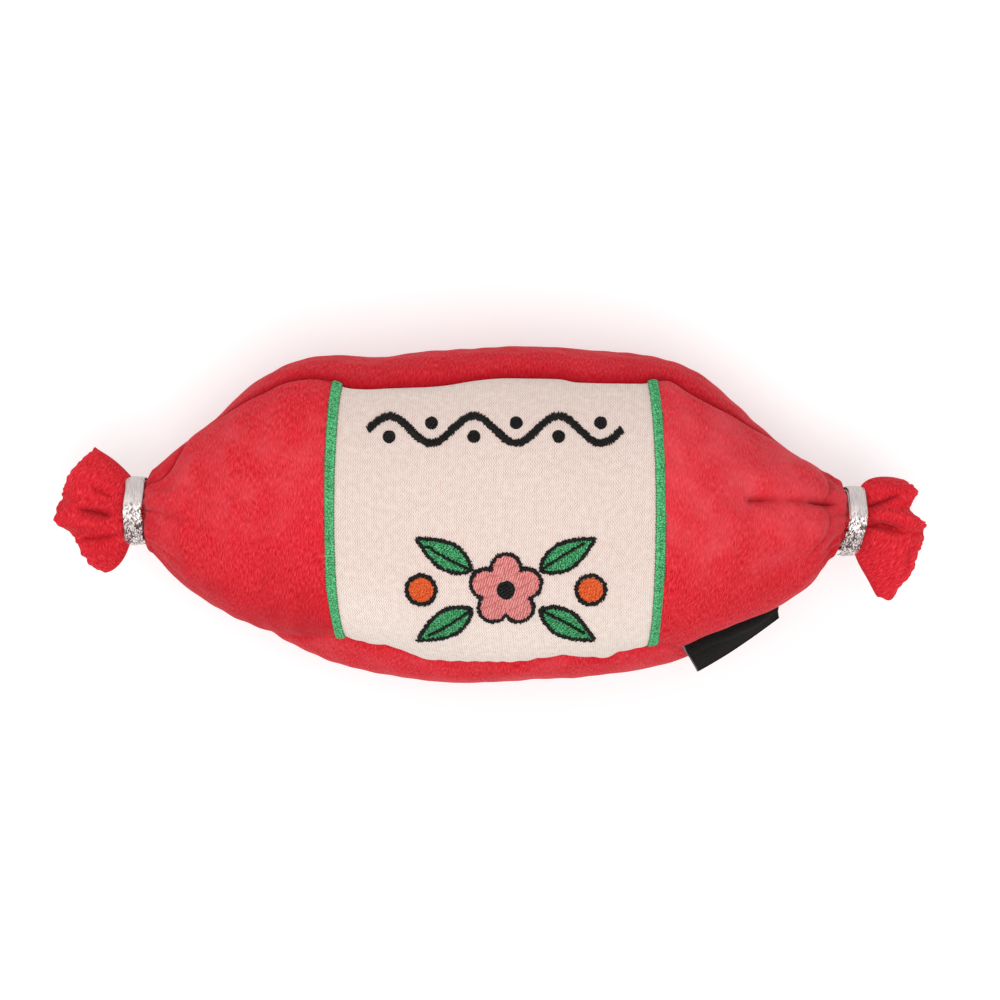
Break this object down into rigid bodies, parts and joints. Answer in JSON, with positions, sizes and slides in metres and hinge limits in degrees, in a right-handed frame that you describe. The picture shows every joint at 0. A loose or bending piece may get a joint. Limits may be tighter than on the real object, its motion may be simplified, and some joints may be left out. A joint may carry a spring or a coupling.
{
  "type": "crinkle dog toy",
  "caption": "Stuffed plush toy shaped like a wrapped sweet, tied with ribbon at both ends, with an embroidered twill label panel, gathered end ruffs and crinkle film inside.",
  "frame": {"origin": "on the resting face, under the middle of the toy's bounding box", "axes": "+X along the toy, +Y towards its upper long side as seen from the front, +Z out of the labelled front"},
  "size_m": [0.2905, 0.1117, 0.0879],
  "materials": {
    "red_plush": "matte",
    "cream_twill": "matte",
    "green_thread": "satin",
    "black_thread": "satin",
    "pink_thread": "satin",
    "orange_thread": "satin",
    "silver_ribbon": "polished",
    "black_tape": "matte",
    "clear_film": "gloss",
    "white_fibre": "matte"
  },
  "bodies": {
    "stuffed_body": {"back_panel": "red_plush", "front_left_panel": "red_plush", "front_label_panel": "cream_twill", "front_right_panel": "red_plush", "stuffing": "white_fibre", "front_crinkle_film": "clear_film", "back_crinkle_film": "clear_film", "left_satin_border": "green_thread", "right_satin_border": "green_thread", "embroidered_wave": "black_thread", "embroidered_dot_1": "black_thread", "embroidered_dot_2": "black_thread", "embroidered_dot_3": "black_thread", "embroidered_dot_4": "black_thread", "embroidered_dot_5": "black_thread", "embroidered_dot_6": "black_thread", "embroidered_flower": "pink_thread", "embroidered_flower_eye": "black_thread", "embroidered_leaf_1": "green_thread", "embroidered_leaf_2": "green_thread", "embroidered_leaf_3": "green_thread", "embroidered_leaf_4": "green_thread", "embroidered_berry_1": "orange_thread", "embroidered_berry_2": "orange_thread"},
    "left_tie": {"left_neck_gather": "red_plush", "left_tie_ribbon": "silver_ribbon"},
    "left_ruff": {"left_ruff_front": "red_plush", "left_ruff_back": "red_plush"},
    "right_tie": {"right_neck_gather": "red_plush", "right_tie_ribbon": "silver_ribbon"},
    "right_ruff": {"right_ruff_front": "red_plush", "right_ruff_back": "red_plush"},
    "tag": {"side_tag": "black_tape"}
  },
  "joints": [
    {"name": "left_neck_sway", "type": "hinge", "parent": "stuffed_body", "child": "left_tie", "pos_m": [-0.11215, 0.0018, 0.042], "axis": [0, 0, 1], "range_deg": [-16, 16], "stiffness_Nm_per_rad": 0.02},
    {"name": "left_ruff_nod", "type": "hinge", "parent": "left_tie", "child": "left_ruff", "pos_m": [-0.12075, 0.0018, 0.042], "axis": [0, 1, 0], "range_deg": [-18, 18], "stiffness_Nm_per_rad": 0.02},
    {"name": "right_neck_sway", "type": "hinge", "parent": "stuffed_body", "child": "right_tie", "pos_m": [0.11465, -0.0014, 0.042], "axis": [0, 0, 1], "range_deg": [-16, 16], "stiffness_Nm_per_rad": 0.02},
    {"name": "right_ruff_nod", "type": "hinge", "parent": "right_tie", "child": "right_ruff", "pos_m": [0.12465, -0.0014, 0.042], "axis": [0, 1, 0], "range_deg": [-18, 18], "stiffness_Nm_per_rad": 0.02},
    {"name": "tag_flap", "type": "hinge", "parent": "stuffed_body", "child": "tag", "pos_m": [0.06652, -0.04649, 0.03804], "axis": [0.9073, 0.4206, 0], "range_deg": [-25, 45], "stiffness_Nm_per_rad": 0.0002}
  ]
}
